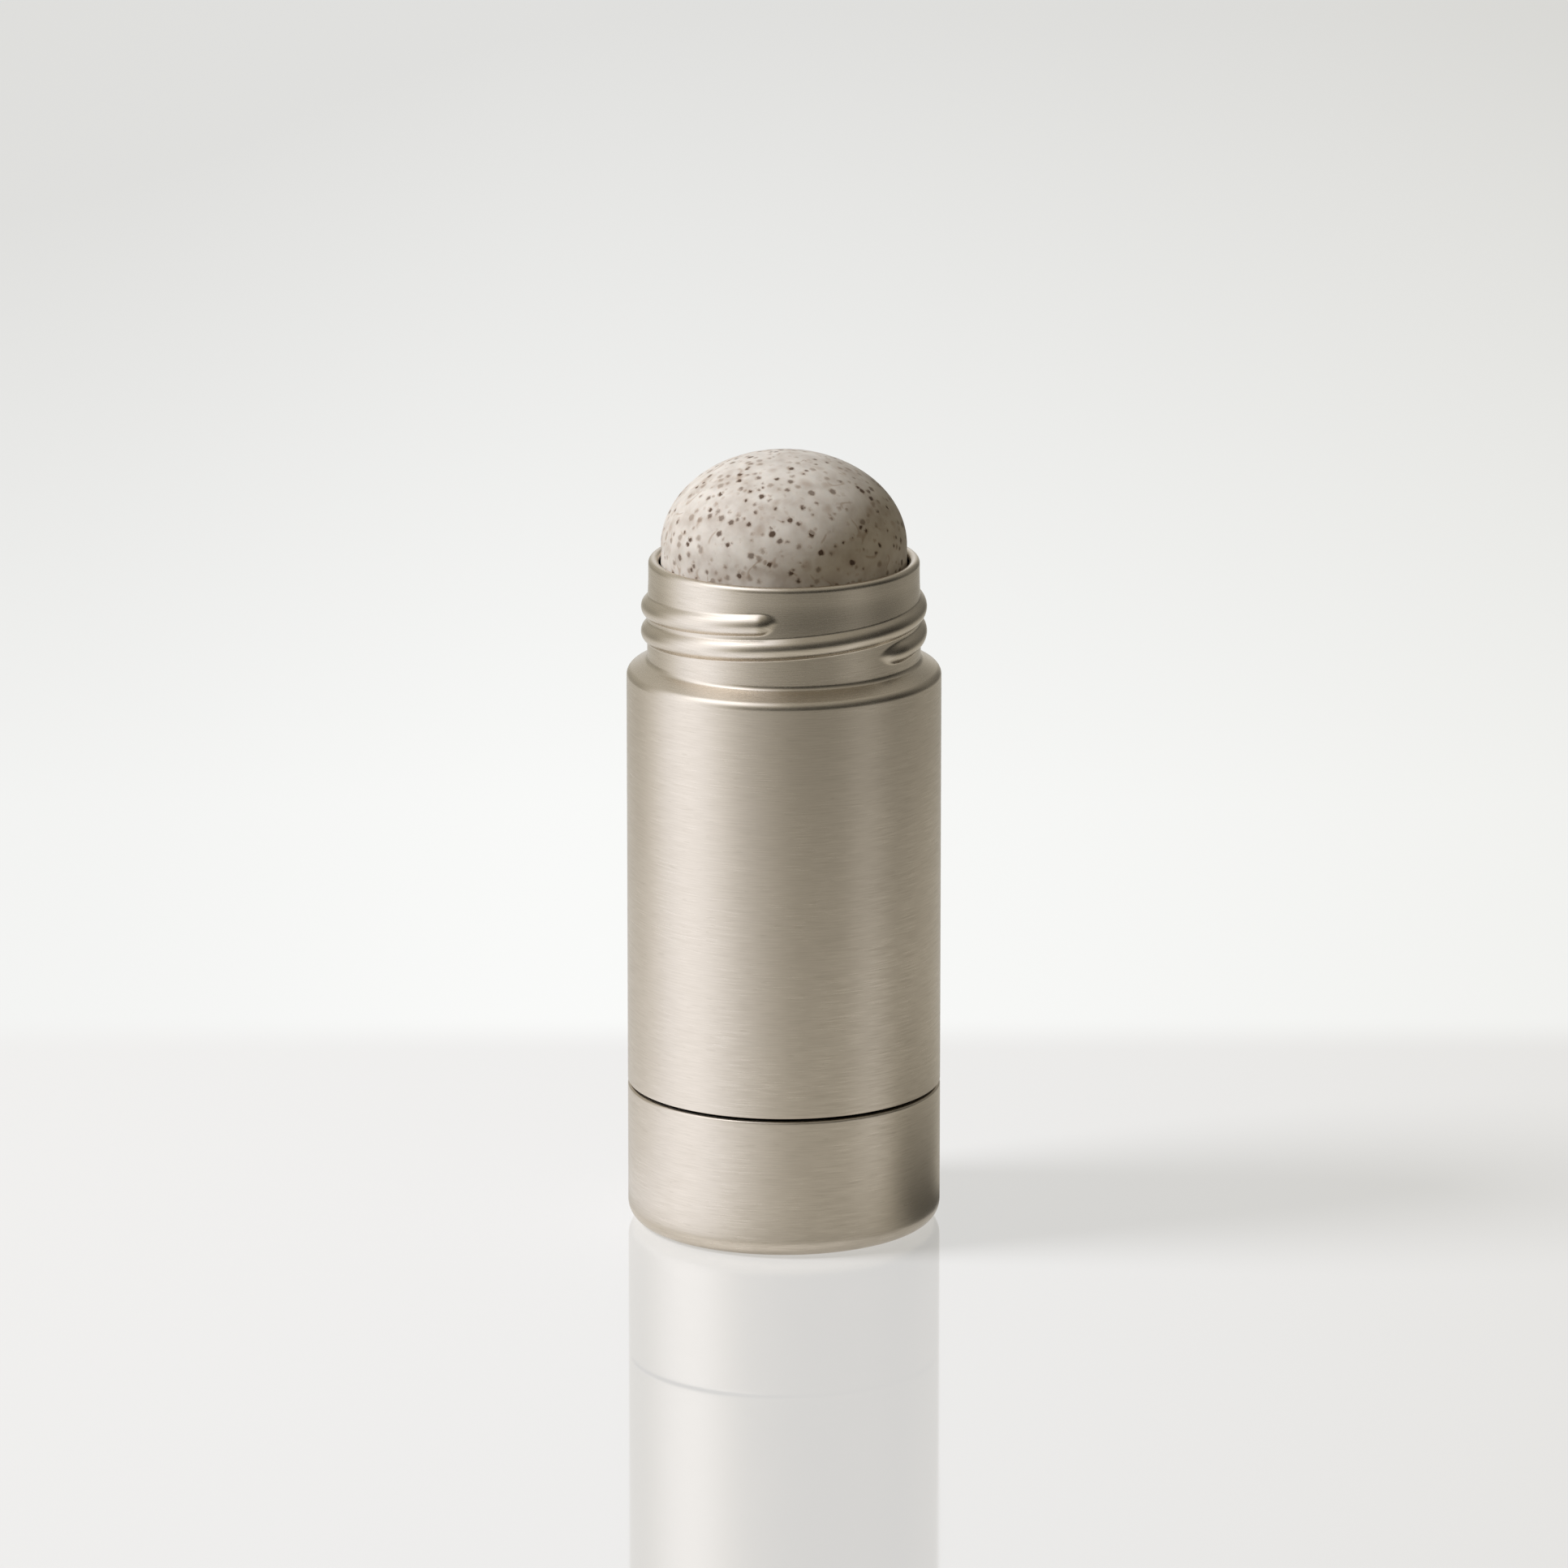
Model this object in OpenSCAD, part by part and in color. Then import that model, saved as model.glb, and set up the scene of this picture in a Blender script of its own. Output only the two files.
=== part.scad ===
// Twist-up exfoliating stick: a brushed aluminium sleeve with a screw neck,
// a turning base, and a domed solid stick that a screw lifts out of it.
// Millimetres, +Z up, origin at the centre of the base's underside.

/* [Sleeve] */
// Outer diameter of the sleeve and of the base cup under it
sleeve_d = 38; // [36:0.2:42]
// Thickness of the sleeve's metal, the same in the barrel, shoulder and neck
sleeve_wall = 0.85; // [0.7:0.05:0.95]
// Height of the sleeve's straight wall
barrel_h = 49.6; // [48:0.1:58]
// Radius of the shoulder's outer curve
shoulder_r = 3; // [2.4:0.1:3.4]
// Radius of the hollow curve between the shoulder and the neck
shoulder_fillet = 1; // [0.6:0.1:1.4]

/* [Neck] */
// Step in from the barrel's side to the neck's wall between the thread's beads
neck_step = 2.5; // [2.2:0.1:3.5]
// Height of the neck wall, from the shoulder's hollow to the plain rim
neck_h = 8.6; // [8.4:0.1:10]
// Step in from the neck's wall to the plain rim above the thread
rim_step = 0.25; // [0.1:0.05:0.4]
// Height of the plain rim, its rounded crown included
rim_h = 3; // [2.6:0.1:5]
// Rise of the cap thread in one turn
thread_lead = 6.2; // [5.6:0.1:6.4]
// Number of starts of the cap thread
thread_starts = 2; // [1:1:2]
// Angle that each start of the cap thread runs round the neck
thread_sweep = 309; // [240:1:312]
// Direction of the first start's upper end, from +X towards +Y
thread_end_a = 264; // [0:1:359]
// Distance of the thread's upper end below the plain rim
thread_drop = 0.2; // [0.1:0.1:0.4]
// Width of the thread's bead where it leaves the neck wall
bead_w = 2.5; // [2:0.1:2.6]
// Height of the bead's crest above the neck wall
bead_h = 0.75; // [0.5:0.05:0.9]

/* [Stick] */
// Gap between the stick and the bore of the rim
stick_gap = 0.55; // [0.3:0.05:0.7]
// Height of the dome above its widest circle
dome_h = 11.3; // [9:0.1:15]
// Height of the dome's widest circle above the rim, with the stick wound down
dome_stand = 1.6; // [0:0.1:3]

/* [Inner tube] */
// Gap between the stick and the inner tube
tube_gap = 0.15; // [0.1:0.05:0.25]
// Number of guide grooves in the inner tube
groove_n = 4; // [2:1:6]
// Width of a guide groove
groove_w = 2.4; // [1.8:0.1:3]
// Depth of a guide groove
groove_depth = 0.95; // [0.7:0.05:1.1]
// Height of the tube's plain top, which stops the carrier's lugs
stop_h = 2; // [1.6:0.1:6]
// Height of each ring that centres the inner tube in the sleeve
tube_ring_h = 3; // [2:0.1:5]
// Number of ribs along the outside of the inner tube
tube_rib_n = 8; // [4:1:12]
// Thickness of a rib along the inner tube
tube_rib_t = 1; // [0.8:0.1:1.6]
// Height of the snap bead round the tube's lower end
snap_h = 1.2; // [0.8:0.1:1.6]
// How far the snap bead stands out of the tube
snap_out = 0.35; // [0.2:0.05:0.4]
// Height of the snap bead above the tube's lower end
snap_up = 3.3; // [2.5:0.1:5]

/* [Carrier] */
// Overall height of the carrier, without its vanes
carrier_h = 13; // [12.4:0.1:15]
// Thickness of the carrier's plate
plate_t = 1.4; // [1:0.1:2]
// Thickness of the carrier's skirt
skirt_t = 1.2; // [0.9:0.1:1.6]
// Height of a guide lug
lug_h = 3; // [2:0.1:4]
// Diameter of the threaded hub
hub_d = 11.4; // [10.6:0.1:13]
// Thickness of the webs under the plate
web_t = 1; // [0.8:0.1:1.6]
// Depth of the webs under the plate
web_h = 3; // [2:0.1:3.4]
// Height of the vanes that key the stick to the plate
vane_h = 4; // [3:0.1:6]
// Thickness of a vane
vane_t = 1.2; // [1:0.1:1.8]

/* [Spindle] */
// Diameter over the spindle's thread
spindle_d = 8; // [7.4:0.1:8.4]
// Diameter of the spindle's core
spindle_core_d = 5.8; // [5.2:0.1:6]
// Rise of the spindle's left-hand thread in one turn
spindle_lead = 6; // [5:0.1:7]
// Width of the spindle's thread at its crest
spindle_crest_w = 1.1; // [0.8:0.1:1.4]
// Width of the spindle's thread at its root
spindle_root_w = 2.2; // [1.8:0.1:2.4]
// Gap between the spindle's thread and the hub's thread
spindle_gap = 0.2; // [0.15:0.05:0.25]
// Length of thread still in the hub when the stick is fully up
spindle_grip = 4.5; // [3:0.1:6]
// Height of the spindle's tapered tip
tip_h = 1; // [0.6:0.1:1.6]
// Thickness of the spindle's collar
collar_t = 1.2; // [0.8:0.1:1.6]
// Diameter of the spindle's collar
collar_d = 9.4; // [8.8:0.1:10.4]
// Diameter of the spindle's hexagonal root over its corners
hex_d = 6.4; // [5.6:0.1:7]

/* [Dial core] */
// Thickness of the dial core's wall
core_wall = 0.95; // [0.85:0.05:1.05]
// Thickness of the dial core's floor
core_floor = 1.6; // [1.2:0.1:2]
// Diameter of the socket boss
boss_d = 11; // [10:0.1:12]
// Height of the socket boss above the floor
boss_h = 5.6; // [4.6:0.1:6]
// Number of gussets round the boss
gusset_n = 6; // [3:1:8]
// Thickness of a gusset
gusset_t = 1.2; // [0.8:0.1:1.6]
// Height of the gussets above the floor
gusset_h = 3; // [2:0.1:4]

/* [Base cup] */
// Height of the base cup
cup_h = 17.2; // [16:0.1:22]
// Thickness of the base cup's metal
cup_wall = 0.8; // [0.6:0.05:0.85]
// Radius round the cup's underside
cup_round = 2.3; // [1.6:0.1:3.2]
// Width of the flat ring that the cup stands on
foot_w = 1.8; // [1.2:0.1:3]
// Rise of the panel inside that ring
foot_rise = 0.4; // [0.2:0.1:0.8]
// Gap between the cup and the sleeve
seam_gap = 0.4; // [0.3:0.05:0.6]

/* [Hidden] */

// Steps in the round stretches of an outline, and the angle between rings of a thread
arc_steps = 10;
edge_steps = 4;
dome_steps = 28;
bead_ring_a = 7.5;
spindle_ring_a = 18;

// Small clearances: glued or pressed pieces, turning pieces, guide lugs, free ends
press_gap = 0.05;
turn_gap = 0.1;
lug_gap = 0.15;
end_gap = 0.3;

// Radius on the metal's cut edges, how far joined forms reach into each other,
// and how far a cutting form runs past what it cuts
edge_r = 0.2;
join = 0.4;
past = 1;

// Angle over which a bead rises at each end, its depth below the wall there,
// how far its section runs into the wall, and half the arc of the groove behind it
bead_run_a = 9;
bead_sink = 0.05;
bead_root = 0.15;
groove_half_a = 75;

// Radii, from the outside inwards
sleeve_r = sleeve_d / 2;
sleeve_in = sleeve_r - sleeve_wall;
cup_in = sleeve_r - cup_wall;
cup_inner_round = max(cup_round - cup_wall, edge_r);
panel_r = sleeve_r - cup_round - foot_w;
neck_r = sleeve_r - neck_step;
neck_in = neck_r - sleeve_wall;
rim_r = neck_r - rim_step;
rim_in = rim_r - sleeve_wall;
stick_r = rim_in - stick_gap;
tube_in = stick_r + tube_gap;
groove_r = tube_in + groove_depth;
lug_r = groove_r - lug_gap;
core_r = min(sleeve_in, cup_in) - press_gap;
core_in = core_r - core_wall;
tube_r = core_in - turn_gap;
tube_ring_r = sleeve_in - press_gap;
carrier_r = stick_r;
skirt_in = carrier_r - skirt_t;
spindle_r = spindle_d / 2;
spindle_core_r = spindle_core_d / 2;
stick_bore_r = spindle_r + 2 * spindle_gap;

// Heights of the base, the spindle and the carrier
core_z = foot_rise + cup_wall;
floor_z = core_z + core_floor;
tube_z = floor_z + end_gap;
snap_z = tube_z + snap_up;
carrier_z = floor_z + 2 * end_gap;
boss_z = floor_z + boss_h;
collar_z = boss_z + collar_t;
hub_z = collar_z + end_gap;
plate_z = carrier_z + carrier_h;

// Heights of the seam and the barrel
core_top = cup_h - end_gap / 2;
tube_ring_z = core_top + end_gap;
sleeve_z = cup_h + seam_gap;
shoulder_z = sleeve_z + barrel_h;

// The shoulder's two curves meet where their centres' line crosses them
shoulder_x = sleeve_r - shoulder_r;
fillet_x = neck_r + shoulder_fillet;
shoulder_a = acos(max(0, fillet_x - shoulder_x) / (shoulder_r + shoulder_fillet));
fillet_z = shoulder_z + (shoulder_r + shoulder_fillet) * sin(shoulder_a);
rim_z = fillet_z + neck_h;
top_z = rim_z + rim_h;
dome_z = top_z + dome_stand;

// The tube ends below the hollow of the shoulder, and its upper ring below the curve
hollow_r = shoulder_r - sleeve_wall;
tube_top = shoulder_z - end_gap + sqrt(pow(hollow_r, 2) - pow(max(0, tube_r - shoulder_x), 2));
tube_upper_z = shoulder_z - tube_ring_h;
groove_top = tube_top - stop_h;

// How far the carrier climbs, and the spindle that this needs
travel = groove_top - end_gap - lug_h - carrier_z;
spindle_top = hub_z + travel + spindle_grip;

// The cap thread's bead is an arc over its width and height
bead_top_z = rim_z - thread_drop - bead_w / 2;
bead_r = (pow(bead_w / 2, 2) + pow(bead_h, 2)) / (2 * bead_h);
bead_inner_r = max(bead_r - sleeve_wall, edge_r);

// Points of an arc about a centre, from one angle to another
function arc(centre, r, from_a, to_a, steps = arc_steps) =
    [for (i = [0:steps]) let (a = from_a + (to_a - from_a) * i / steps)
        centre + r * [cos(a), sin(a)]];

// One ring of a swept outline: the outline's x runs outwards and its y along the axis
function ring(outline, a, z) = [for (p = outline) [p[0] * cos(a), p[0] * sin(a), z + p[1]]];

// A closed outline carried through a list of rings, with flat ends
module sweep(rings) {
    n = len(rings[0]);
    last = len(rings) - 1;
    sides = [for (i = [0:last - 1], j = [0:n - 1], half = [0, 1])
        let (a = i * n + j, b = i * n + (j + 1) % n)
            half == 0 ? [a, b, b + n] : [a, b + n, a + n]];
    near_end = [for (j = [1:n - 2]) [0, j + 1, j]];
    far_end = [for (j = [1:n - 2]) [last * n, last * n + j, last * n + j + 1]];
    polyhedron(points = [for (r = rings) each r], faces = concat(sides, near_end, far_end));
}

// The same form, set evenly round the axis
module around(n, first_a = 0) {
    for (i = [0:n - 1])
        rotate(first_a + 360 * i / n) children();
}

// A bar along +X from one radius to another, as wide as w and as high as h
module bar(r0, r1, w, z, h) {
    translate([r0, -w / 2, z]) cube([r1 - r0, w, h]);
}

// A plain ring between two radii
module tube(r_out, r_in, z, h) {
    translate([0, 0, z]) rotate_extrude($fn = 96)
        polygon([[r_in, 0], [r_out, 0], [r_out, h], [r_in, h]]);
}

// A ring with sloped flanks, which snaps past an edge
module snap_bead(r, out, h) {
    rotate_extrude($fn = 96)
        polygon([[r - join, 0], [r, 0], [r + out, out], [r + out, h - out], [r, h], [r - join, h]]);
}

// Outline of the sleeve's metal: barrel, shoulder, neck and rounded rim
function sleeve_outline() =
    let (centre = [shoulder_x, shoulder_z],
         hollow = [fillet_x, fillet_z],
         crown = [rim_r - sleeve_wall / 2, top_z - sleeve_wall / 2])
    concat(
        [[sleeve_in, sleeve_z]],
        arc([sleeve_r - edge_r, sleeve_z + edge_r], edge_r, -90, 0, edge_steps),
        arc(centre, shoulder_r, 0, shoulder_a),
        arc(hollow, shoulder_fillet, 180 + shoulder_a, 180),
        [[neck_r, rim_z - rim_step], [rim_r, rim_z]],
        arc(crown, sleeve_wall / 2, 0, 180),
        [[rim_in, rim_z], [neck_in, rim_z - rim_step]],
        arc(hollow, shoulder_fillet + sleeve_wall, 180, 180 + shoulder_a),
        arc(centre, hollow_r, shoulder_a, 0));

// How high the bead stands along its run: full, and sinking into the wall at both ends
function bead_rise(run) =
    let (share = min(run, thread_sweep - run) / bead_run_a)
    share < 1 ? (bead_h + bead_sink) * sin(90 * share) - bead_sink : bead_h;

// Section of the rolled bead, whose flat back lies inside the wall
function bead_section(rise) =
    let (centre = neck_r + rise - bead_r,
         half_a = acos((bead_r - bead_h - bead_root) / bead_r),
         back = neck_r + rise - bead_h - join)
    concat(
        arc([centre, 0], bead_r, -half_a, half_a),
        [[back, bead_w / 2], [back, -bead_w / 2]]);

// Section of the groove that the rolling leaves inside, one wall in from the bead
function bead_groove(rise) =
    let (centre = neck_in + rise - bead_inner_r,
         side = bead_inner_r * sin(groove_half_a),
         back = neck_in - bead_h - join)
    concat(
        arc([centre, 0], bead_inner_r, -groove_half_a, groove_half_a),
        [[back, side], [back, -side]]);

// One start of the cap thread: the bead outside, or the groove behind it
module thread_start(behind) {
    steps = ceil(thread_sweep / bead_ring_a);
    sweep([for (i = [0:steps])
        let (run = thread_sweep * i / steps,
             rise = bead_rise(run),
             a = thread_end_a - thread_sweep + run,
             z = bead_top_z - thread_lead * (thread_sweep - run) / 360)
        ring(behind ? bead_groove(rise) : bead_section(rise), a, z)]);
}

module sleeve() {
    color("#b3a894")
    difference() {
        union() {
            rotate_extrude($fn = 128) polygon(sleeve_outline());
            around(thread_starts) thread_start(false);
        }
        around(thread_starts) thread_start(true);
    }
}

module inner_tube() {
    color("#3a3733")
    difference() {
        union() {
            tube(tube_r, tube_in, tube_z, tube_top - tube_z);
            translate([0, 0, snap_z]) snap_bead(tube_r, snap_out, snap_h);
            tube(tube_ring_r, tube_in, tube_ring_z, tube_ring_h);
            tube(tube_ring_r, tube_in, tube_upper_z, tube_ring_h);
            around(tube_rib_n, 180 / tube_rib_n)
                bar(groove_r + join, tube_ring_r - press_gap, tube_rib_t,
                    tube_ring_z, tube_upper_z - tube_ring_z);
        }
        around(groove_n) bar(0, groove_r, groove_w, tube_z - past, groove_top - tube_z + past);
    }
}

module base_cup() {
    color("#b3a894")
    rotate_extrude($fn = 128) polygon(concat(
        [[0, foot_rise], [panel_r - foot_rise, foot_rise], [panel_r, 0]],
        arc([sleeve_r - cup_round, cup_round], cup_round, -90, 0),
        arc([sleeve_r - edge_r, cup_h - edge_r], edge_r, 0, 90, edge_steps),
        [[cup_in, cup_h]],
        arc([cup_in - cup_inner_round, cup_wall + cup_inner_round], cup_inner_round, 0, -90),
        [[panel_r + foot_rise, cup_wall], [panel_r, core_z], [0, core_z]]));
}

module dial_core() {
    corner = cup_inner_round + edge_r;
    color("#3a3733")
    difference() {
        union() {
            rotate_extrude($fn = 96) polygon(concat(
                [[0, core_z]],
                arc([core_r - corner, core_z + corner], corner, -90, 0),
                [[core_r, core_top], [core_in, core_top], [core_in, floor_z], [0, floor_z]]));
            translate([0, 0, core_z]) cylinder(d = boss_d, h = boss_z - core_z, $fn = 64);
            around(gusset_n) bar(0, skirt_in - 2 * end_gap, gusset_t, core_z, core_floor + gusset_h);
        }
        tube(core_in + snap_out, core_in - join, snap_z - turn_gap, snap_h + 2 * turn_gap);
        translate([0, 0, floor_z]) cylinder(d = hex_d + 2 * press_gap, h = boss_h + past, $fn = 6);
    }
}

// Trapezoid section of the spindle's thread, grown by a gap for the hub: its flanks run on into the core
function spindle_section(grow) =
    let (slope = (spindle_root_w - spindle_crest_w) / 2 / (spindle_r - spindle_core_r),
         back = spindle_core_r - join,
         top = spindle_r + grow,
         crest = spindle_crest_w / 2 + grow,
         root = crest + slope * (top - back))
    [[back, -root], [top, -crest], [top, crest], [back, root]];

// Left-hand thread between two heights, in phase with the collar's top at +X
module spindle_thread(from_z, to_z, grow) {
    step_z = spindle_lead * spindle_ring_a / 360;
    first = ceil((from_z - collar_z) / step_z);
    last = floor((to_z - collar_z) / step_z);
    sweep([for (i = [last:-1:first])
        ring(spindle_section(grow), -spindle_ring_a * i, collar_z + step_z * i)]);
}

module spindle() {
    tip_z = spindle_top - tip_h;
    color("#e8e6e0")
    union() {
        translate([0, 0, floor_z + end_gap]) cylinder(d = hex_d, h = boss_h - end_gap + join, $fn = 6);
        rotate_extrude($fn = 64) polygon([
            [0, boss_z], [collar_d / 2, boss_z], [collar_d / 2, collar_z], [spindle_core_r, collar_z],
            [spindle_core_r, tip_z], [spindle_core_r - tip_h / 2, spindle_top], [0, spindle_top]]);
        spindle_thread(boss_z + spindle_root_w / 2, tip_z - spindle_root_w / 2, 0);
    }
}

module carrier() {
    web_z = plate_z - plate_t - web_h;
    color("#e8e6e0")
    difference() {
        union() {
            tube(carrier_r, skirt_in, carrier_z, carrier_h);
            translate([0, 0, plate_z - plate_t]) cylinder(r = skirt_in + join, h = plate_t, $fn = 96);
            translate([0, 0, hub_z]) cylinder(d = hub_d, h = plate_z - hub_z, $fn = 64);
            around(groove_n) bar(hub_d / 2 - join, skirt_in + join, web_t, web_z, web_h + join);
            around(groove_n) bar(skirt_in + join, lug_r, groove_w - 2 * lug_gap, carrier_z, lug_h);
            around(groove_n) vane(0, join);
        }
        translate([0, 0, hub_z - past])
            cylinder(r = spindle_core_r + spindle_gap, h = plate_z - hub_z + 2 * past, $fn = 48);
        spindle_thread(hub_z - spindle_lead / 2, plate_z + spindle_lead / 2, spindle_gap);
    }
}

// One vane on the plate, or the slot that it fills in the stick, reaching down by a depth
module vane(gap, down) {
    bar(hub_d / 2 + past - gap, carrier_r - 2 * skirt_t + gap, vane_t + 2 * gap,
        plate_z - down, down + vane_h + gap);
}

module exfoliating_stick() {
    color("#cfc6bc")
    difference() {
        rotate_extrude($fn = 128) polygon(concat(
            [[0, plate_z], [stick_r, plate_z]],
            [for (i = [0:dome_steps - 1]) let (a = 90 * i / dome_steps)
                [stick_r * cos(a), dome_z + dome_h * sin(a)]],
            [[0, dome_z + dome_h]]));
        translate([0, 0, plate_z - past])
            cylinder(r = stick_bore_r, h = spindle_top - plate_z + 2 * past, $fn = 64);
        around(groove_n) vane(press_gap, past);
    }
}

sleeve();
inner_tube();
base_cup();
dial_core();
spindle();
carrier();
exfoliating_stick();
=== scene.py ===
"""Looks of a twist-up exfoliating stick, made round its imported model.

The file is laid out as an add-on and run as a script. One operator makes the aluminium case, one the
balm, one gives the inner mouldings their plastics, and one sets up the studio. Lengths are metres, and
+Z is up.
"""
import math

import bpy
import numpy as np
from bpy.props import FloatProperty, FloatVectorProperty, IntProperty, PointerProperty
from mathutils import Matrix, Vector


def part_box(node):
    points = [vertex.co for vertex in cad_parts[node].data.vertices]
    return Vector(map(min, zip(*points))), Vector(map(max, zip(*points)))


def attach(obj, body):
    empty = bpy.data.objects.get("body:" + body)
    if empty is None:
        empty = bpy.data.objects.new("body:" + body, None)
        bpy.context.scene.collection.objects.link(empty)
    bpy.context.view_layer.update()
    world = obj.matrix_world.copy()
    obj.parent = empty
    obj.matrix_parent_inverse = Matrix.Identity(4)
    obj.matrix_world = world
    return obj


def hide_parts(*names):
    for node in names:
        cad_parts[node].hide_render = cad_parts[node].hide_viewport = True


bl_info = {
    "name": "Exfoliating Stick",
    "version": (1, 0, 0),
    "blender": (4, 5, 0),
    "location": "3D View > Sidebar > Stick",
    "description": "Dresses a twist-up exfoliating stick and sets up its studio",
    "category": "Object",
}

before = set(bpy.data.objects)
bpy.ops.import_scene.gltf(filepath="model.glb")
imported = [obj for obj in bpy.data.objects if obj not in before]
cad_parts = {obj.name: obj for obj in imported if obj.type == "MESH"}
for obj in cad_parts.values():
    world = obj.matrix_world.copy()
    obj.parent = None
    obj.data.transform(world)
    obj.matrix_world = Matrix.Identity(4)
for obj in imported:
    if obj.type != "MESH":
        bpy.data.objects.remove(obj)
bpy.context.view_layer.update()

MM = 0.001
SLEEVE_LOW, SLEEVE_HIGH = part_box("sleeve")
CUP_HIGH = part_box("base_cup")[1]
STICK_LOW, STICK_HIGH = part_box("exfoliating_stick")


def linear(hex_code):
    """An sRGB hex colour as linear red, green, blue and a full alpha."""
    srgb = np.array([int(hex_code[i : i + 2], 16) for i in (1, 3, 5)]) / 255
    low, high = srgb / 12.92, ((srgb + 0.055) / 1.055) ** 2.4
    return (*np.where(srgb <= 0.04045, low, high).tolist(), 1.0)


def length(name, description, default):
    """A size in metres."""
    return FloatProperty(name=name, description=description, default=default, unit="LENGTH", precision=5)


def angle(name, description, degrees):
    """An angle, given in degrees and kept in radians."""
    return FloatProperty(name=name, description=description, default=math.radians(degrees), unit="ROTATION")


def number(name, description, default):
    """A plain number."""
    return FloatProperty(name=name, description=description, default=default)


def colour(name, description, hex_code):
    """A colour with its alpha."""
    return FloatVectorProperty(name=name, description=description, default=linear(hex_code),
                               subtype="COLOR", size=4, min=0, max=1)


class StickCaseSizes(bpy.types.PropertyGroup):
    """Sizes of the sleeve and the base cup."""

    radius: length("Case radius", "Outer radius of the sleeve and the cup", SLEEVE_HIGH.x)
    wall: length("Sleeve metal", "Thickness of the sleeve's metal", 0.85 * MM)
    edge: length("Cut edge", "Radius on the metal's cut edges", 0.12 * MM)
    foot: length("Sleeve foot", "Height of the sleeve's lower edge", SLEEVE_LOW.z)
    shoulder: length("Shoulder height", "Height at which the shoulder starts to curve in", 68.1 * MM)
    shoulder_round: length("Shoulder radius", "Radius of the bend between barrel and shoulder", 1.1 * MM)
    hollow_round: length("Hollow radius", "Radius of the hollow between shoulder and neck", 0.7 * MM)
    shoulder_tilt: angle("Shoulder tilt", "How far the shoulder's face leans back", 60)
    neck: length("Neck radius", "Radius of the neck's wall between the beads", 16.5 * MM)
    rim: length("Rim radius", "Radius of the plain rim above the thread", 16.35 * MM)
    rim_height: length("Rim height", "Height of the plain rim, with its crown", 3 * MM)
    lip: length("Rolled lip", "Thickness of the lip that is rolled inward at the rim's top", 1.25 * MM)
    top: length("Rim top", "Height of the rim's crown", SLEEVE_HIGH.z)
    cup_edge: length("Cup edge", "Radius on the outer edge of the cup's mouth", 0.3 * MM)
    cup_wall: length("Cup metal", "Thickness of the cup's metal", 0.8 * MM)
    cup_round: length("Cup corner", "Radius round the cup's underside", 2.3 * MM)
    cup_foot: length("Cup foot", "Width of the flat ring that the cup stands on", 1.8 * MM)
    cup_panel: length("Cup panel", "Rise of the panel inside that ring", 0.4 * MM)


class StickThreadSizes(bpy.types.PropertyGroup):
    """Sizes of the cap thread on the neck."""

    starts: IntProperty(name="Starts", description="Number of beads round the neck", default=2, min=1, max=3)
    lead: length("Lead", "Rise of a bead in one turn", 6.2 * MM)
    sweep: angle("Sweep", "Angle that a bead runs round the neck", 309)
    end_angle: angle("Upper end", "Direction of the first bead's upper end, from +X", 265.5)
    top: length("Thread top", "Height of a bead's middle at its upper end", 78.058 * MM)
    width: length("Bead width", "Width of a bead where it leaves the wall", 2.5 * MM)
    height: length("Bead height", "Height of a bead's crest above the wall", 0.75 * MM)
    root: length("Bead root", "Depth under the wall from which a bead's ends rise", 0.05 * MM)
    run_out: angle("Run-out", "Angle over which a bead falls at its upper end", 7)
    run_in: angle("Run-in", "Angle over which a bead rises at its lower end", 14)
    upper_blend: length("Upper blend", "Softness where a bead's upper flank meets the wall", 0.42 * MM)
    lower_blend: length("Lower blend", "Softness where a bead's lower flank meets the wall", 0.16 * MM)
    blend_band: length("Blend band", "Distance from a bead's middle at which its blend is full", 0.4 * MM)


class StickBalmSizes(bpy.types.PropertyGroup):
    """Sizes of the domed balm."""

    radius: length("Balm radius", "Radius of the balm's side", STICK_HIGH.x)
    foot: length("Balm foot", "Height of the balm's underside", STICK_LOW.z)
    corner: length("Balm corner", "Radius round the balm's underside", 0.3 * MM)
    dome: length("Dome height", "Height of the dome above its widest circle", 11.3 * MM)
    bore: length("Bore radius", "Radius of the spindle's bore in the balm", 4.4 * MM)
    bore_top: length("Bore top", "Height of the bore's end", 75.476 * MM)
    slot_length: length("Slot length", "Outer end of a slot for the carrier's vanes", 12.5 * MM)
    slot_width: length("Slot width", "Width of a slot for the carrier's vanes", 1.3 * MM)
    slot_height: length("Slot height", "Depth of a slot for the carrier's vanes", 4.05 * MM)
    wave: length("Wave", "How far the cast surface sinks below the true dome", 0.12 * MM)


class StickFinishes(bpy.types.PropertyGroup):
    """Colours of the pieces, and where the metal's finish changes."""

    metal: colour("Aluminium", "Champagne tint of the anodised aluminium", "#DDD2C2")
    metal_shade: colour("Brushed lines", "Tint in the deeper brushed lines", "#CBC0AF")
    neck_start: length("Neck finish start", "Height at which the metal turns smoother", 67 * MM)
    neck_full: length("Neck finish full", "Height from which it is as smooth as the neck", 69 * MM)
    balm: colour("Balm", "Body of the balm", "#DCD6D1")
    balm_pale: colour("Balm, pale", "Pale clouds in the balm", "#E8E3DF")
    balm_deep: colour("Balm, deep", "Deep clouds in the balm", "#C9C0B9")
    speck: colour("Specks", "Ground seed in the balm", "#523D2D")
    fibre: colour("Fibres", "Thin fibres and stains in the balm", "#A08670")
    # Dark plastic of the inner tube and dial core. It is partly painted shade: it is dark so that the seam
    # gap between sleeve and cup shows as shaded.
    dark_plastic_seam_shade: colour("Dark plastic", "Moulded dark polypropylene", "#2B2926")
    white_plastic: colour("White plastic", "Moulded natural polypropylene", "#DEDBD3")


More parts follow.
